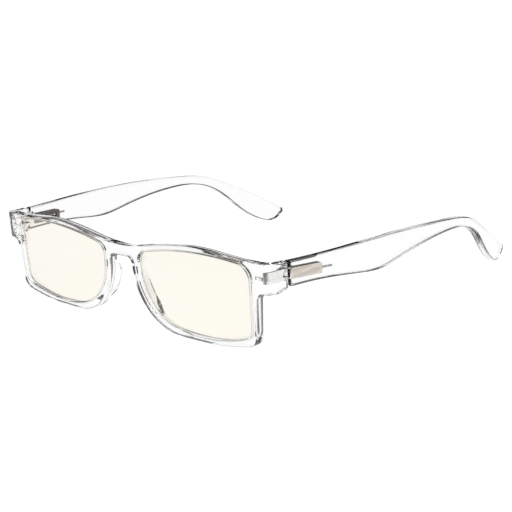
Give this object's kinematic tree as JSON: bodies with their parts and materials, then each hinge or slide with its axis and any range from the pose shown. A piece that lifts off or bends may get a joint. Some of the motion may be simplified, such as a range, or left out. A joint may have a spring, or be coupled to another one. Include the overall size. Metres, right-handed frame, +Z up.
{
  "type": "reading glasses",
  "caption": "Clear plastic rectangular glasses with pale tinted lenses, integral nose pads and sprung folding temples.",
  "frame": {"origin": "middle of the bounding box at its bottom, with the glasses standing open on their lower rims and temple tips", "axes": "+X towards the wearer's left, +Y from the front back along the temples, +Z up"},
  "size_m": [0.146, 0.1413, 0.0323],
  "materials": {
    "clear_plastic": "clear, polished",
    "tinted_lens": "clear with a pale cream tint and a thin coating, polished",
    "nickel_silver": "satin, warm grey",
    "screw_steel": "turned",
    "spring_steel": "drawn wire"
  },
  "bodies": {
    "front": {"front_frame": "clear_plastic", "lens_left": "tinted_lens", "hinge_leaf_left": "nickel_silver", "hinge_screw_left": "screw_steel", "lens_right": "tinted_lens", "hinge_leaf_right": "nickel_silver", "hinge_screw_right": "screw_steel"},
    "eyelet_left": {"hinge_eyelet_left": "nickel_silver", "stem_nut_left": "screw_steel"},
    "temple_left": {"temple_left": "clear_plastic", "spring_box_left": "nickel_silver", "anchor_pin_left": "screw_steel", "stop_plug_left": "nickel_silver", "spring_left": "spring_steel"},
    "eyelet_right": {"hinge_eyelet_right": "nickel_silver", "stem_nut_right": "screw_steel"},
    "temple_right": {"temple_right": "clear_plastic", "spring_box_right": "nickel_silver", "anchor_pin_right": "screw_steel", "stop_plug_right": "nickel_silver", "spring_right": "spring_steel"}
  },
  "joints": [
    {"name": "fold_left", "type": "hinge", "parent": "front", "child": "eyelet_left", "pos_m": [0.0651, -0.0592, 0.026], "axis": [0, 0, 1], "range_deg": [-6, 88]},
    {"name": "slide_left", "type": "slide", "parent": "eyelet_left", "child": "temple_left", "axis": [0.1303, 0.9896, -0.061], "range_m": [0, 0.0012], "stiffness_N_per_m": 400, "springref_m": -0.001, "deforming": ["spring_left"]},
    {"name": "fold_right", "type": "hinge", "parent": "front", "child": "eyelet_right", "pos_m": [-0.0651, -0.0592, 0.026], "axis": [0, 0, -1], "range_deg": [-6, 80]},
    {"name": "slide_right", "type": "slide", "parent": "eyelet_right", "child": "temple_right", "axis": [-0.1303, 0.9896, -0.061], "range_m": [0, 0.0012], "stiffness_N_per_m": 400, "springref_m": -0.001, "deforming": ["spring_right"]}
  ]
}
